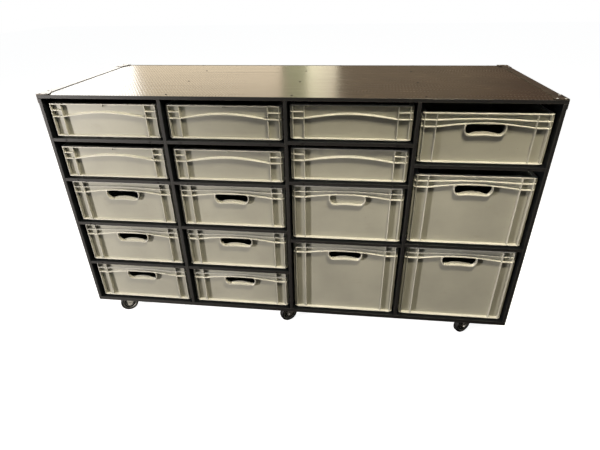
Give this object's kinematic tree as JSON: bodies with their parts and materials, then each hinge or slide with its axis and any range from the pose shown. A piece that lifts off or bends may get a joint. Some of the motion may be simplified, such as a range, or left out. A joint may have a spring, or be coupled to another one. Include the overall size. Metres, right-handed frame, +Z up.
{
  "type": "rolling container case",
  "caption": "Open-fronted black plywood case on swivel castors, with bays of light grey stacking containers that pull out like drawers.",
  "frame": {"origin": "on the floor, under the middle of the case", "axes": "+X to the right seen from the open front, +Y towards the back board, +Z up"},
  "size_m": [1.7156, 0.6254, 0.9884],
  "materials": {
    "plywood": "black film-faced plywood, satin",
    "container_plastic": "moulded polypropylene, satin",
    "edge_steel": "dark lacquered steel",
    "zinc_steel": "zinc-plated pressed steel",
    "wheel_rubber": "black rubber tread on a grey hub"
  },
  "bodies": {
    "case": {"top_panel": "plywood", "base_panel": "plywood", "side_panel_left": "plywood", "side_panel_right": "plywood", "back_panel": "plywood", "divider_1": "plywood", "divider_2": "plywood", "divider_3": "plywood", "shelf_1_1": "plywood", "shelf_1_2": "plywood", "shelf_1_3": "plywood", "shelf_1_4": "plywood", "shelf_2_1": "plywood", "shelf_2_2": "plywood", "shelf_2_3": "plywood", "shelf_2_4": "plywood", "shelf_3_1": "plywood", "shelf_3_2": "plywood", "shelf_3_3": "plywood", "shelf_4_1": "plywood", "shelf_4_2": "plywood", "edge_angle_left": "edge_steel", "edge_angle_right": "edge_steel", "castor_plate_1": "zinc_steel", "castor_plate_2": "zinc_steel", "castor_plate_3": "zinc_steel", "castor_plate_4": "zinc_steel", "castor_plate_5": "zinc_steel", "castor_plate_6": "zinc_steel"},
    "container_1_1": {"container_1_1": "container_plastic"},
    "container_1_2": {"container_1_2": "container_plastic"},
    "container_1_3": {"container_1_3": "container_plastic"},
    "container_1_4": {"container_1_4": "container_plastic"},
    "container_1_5": {"container_1_5": "container_plastic"},
    "container_2_1": {"container_2_1": "container_plastic"},
    "container_2_2": {"container_2_2": "container_plastic"},
    "container_2_3": {"container_2_3": "container_plastic"},
    "container_2_4": {"container_2_4": "container_plastic"},
    "container_2_5": {"container_2_5": "container_plastic"},
    "container_3_1": {"container_3_1": "container_plastic"},
    "container_3_2": {"container_3_2": "container_plastic"},
    "container_3_3": {"container_3_3": "container_plastic"},
    "container_3_4": {"container_3_4": "container_plastic"},
    "container_4_1": {"container_4_1": "container_plastic"},
    "container_4_2": {"container_4_2": "container_plastic"},
    "container_4_3": {"container_4_3": "container_plastic"},
    "castor_fork_1": {"castor_fork_1": "zinc_steel"},
    "castor_wheel_1": {"castor_wheel_1": "wheel_rubber"},
    "castor_fork_2": {"castor_fork_2": "zinc_steel"},
    "castor_wheel_2": {"castor_wheel_2": "wheel_rubber"},
    "castor_fork_3": {"castor_fork_3": "zinc_steel"},
    "castor_wheel_3": {"castor_wheel_3": "wheel_rubber"},
    "castor_fork_4": {"castor_fork_4": "zinc_steel"},
    "castor_wheel_4": {"castor_wheel_4": "wheel_rubber"},
    "castor_fork_5": {"castor_fork_5": "zinc_steel"},
    "castor_wheel_5": {"castor_wheel_5": "wheel_rubber"},
    "castor_fork_6": {"castor_fork_6": "zinc_steel"},
    "castor_wheel_6": {"castor_wheel_6": "wheel_rubber"}
  },
  "joints": [
    {"name": "container_1_1_slide", "type": "slide", "parent": "case", "child": "container_1_1", "axis": [0, -1, 0], "range_m": [0, 0.63]},
    {"name": "container_1_2_slide", "type": "slide", "parent": "case", "child": "container_1_2", "axis": [0, -1, 0], "range_m": [0, 0.63]},
    {"name": "container_1_3_slide", "type": "slide", "parent": "case", "child": "container_1_3", "axis": [0, -1, 0], "range_m": [0, 0.63]},
    {"name": "container_1_4_slide", "type": "slide", "parent": "case", "child": "container_1_4", "axis": [0, -1, 0], "range_m": [0, 0.63]},
    {"name": "container_1_5_slide", "type": "slide", "parent": "case", "child": "container_1_5", "axis": [0, -1, 0], "range_m": [0, 0.63]},
    {"name": "container_2_1_slide", "type": "slide", "parent": "case", "child": "container_2_1", "axis": [0, -1, 0], "range_m": [0, 0.63]},
    {"name": "container_2_2_slide", "type": "slide", "parent": "case", "child": "container_2_2", "axis": [0, -1, 0], "range_m": [0, 0.63]},
    {"name": "container_2_3_slide", "type": "slide", "parent": "case", "child": "container_2_3", "axis": [0, -1, 0], "range_m": [0, 0.63]},
    {"name": "container_2_4_slide", "type": "slide", "parent": "case", "child": "container_2_4", "axis": [0, -1, 0], "range_m": [0, 0.63]},
    {"name": "container_2_5_slide", "type": "slide", "parent": "case", "child": "container_2_5", "axis": [0, -1, 0], "range_m": [0, 0.63]},
    {"name": "container_3_1_slide", "type": "slide", "parent": "case", "child": "container_3_1", "axis": [0, -1, 0], "range_m": [0, 0.63]},
    {"name": "container_3_2_slide", "type": "slide", "parent": "case", "child": "container_3_2", "axis": [0, -1, 0], "range_m": [0, 0.63]},
    {"name": "container_3_3_slide", "type": "slide", "parent": "case", "child": "container_3_3", "axis": [0, -1, 0], "range_m": [0, 0.63]},
    {"name": "container_3_4_slide", "type": "slide", "parent": "case", "child": "container_3_4", "axis": [0, -1, 0], "range_m": [0, 0.63]},
    {"name": "container_4_1_slide", "type": "slide", "parent": "case", "child": "container_4_1", "axis": [0, -1, 0], "range_m": [0, 0.63]},
    {"name": "container_4_2_slide", "type": "slide", "parent": "case", "child": "container_4_2", "axis": [0, -1, 0], "range_m": [0, 0.63]},
    {"name": "container_4_3_slide", "type": "slide", "parent": "case", "child": "container_4_3", "axis": [0, -1, 0], "range_m": [0, 0.63]},
    {"name": "castor_swivel_1", "type": "hinge", "parent": "case", "child": "castor_fork_1", "pos_m": [-0.739, -0.227, 0.1], "axis": [0, 0, 1], "continuous": true},
    {"name": "castor_roll_1", "type": "hinge", "parent": "castor_fork_1", "child": "castor_wheel_1", "pos_m": [-0.76387, -0.24378, 0.0375], "axis": [-0.5592, 0.829, 0], "continuous": true},
    {"name": "castor_swivel_2", "type": "hinge", "parent": "case", "child": "castor_fork_2", "pos_m": [0, -0.227, 0.1], "axis": [0, 0, 1], "continuous": true},
    {"name": "castor_roll_2", "type": "hinge", "parent": "castor_fork_2", "child": "castor_wheel_2", "pos_m": [-0.02487, -0.24378, 0.0375], "axis": [-0.5592, 0.829, 0], "continuous": true},
    {"name": "castor_swivel_3", "type": "hinge", "parent": "case", "child": "castor_fork_3", "pos_m": [0.739, -0.227, 0.1], "axis": [0, 0, 1], "continuous": true},
    {"name": "castor_roll_3", "type": "hinge", "parent": "castor_fork_3", "child": "castor_wheel_3", "pos_m": [0.71413, -0.24378, 0.0375], "axis": [-0.5592, 0.829, 0], "continuous": true},
    {"name": "castor_swivel_4", "type": "hinge", "parent": "case", "child": "castor_fork_4", "pos_m": [-0.739, 0.227, 0.1], "axis": [0, 0, 1], "continuous": true},
    {"name": "castor_roll_4", "type": "hinge", "parent": "castor_fork_4", "child": "castor_wheel_4", "pos_m": [-0.76387, 0.21022, 0.0375], "axis": [-0.5592, 0.829, 0], "continuous": true},
    {"name": "castor_swivel_5", "type": "hinge", "parent": "case", "child": "castor_fork_5", "pos_m": [0, 0.227, 0.1], "axis": [0, 0, 1], "continuous": true},
    {"name": "castor_roll_5", "type": "hinge", "parent": "castor_fork_5", "child": "castor_wheel_5", "pos_m": [-0.02487, 0.21022, 0.0375], "axis": [-0.5592, 0.829, 0], "continuous": true},
    {"name": "castor_swivel_6", "type": "hinge", "parent": "case", "child": "castor_fork_6", "pos_m": [0.739, 0.227, 0.1], "axis": [0, 0, 1], "continuous": true},
    {"name": "castor_roll_6", "type": "hinge", "parent": "castor_fork_6", "child": "castor_wheel_6", "pos_m": [0.71413, 0.21022, 0.0375], "axis": [-0.5592, 0.829, 0], "continuous": true}
  ]
}
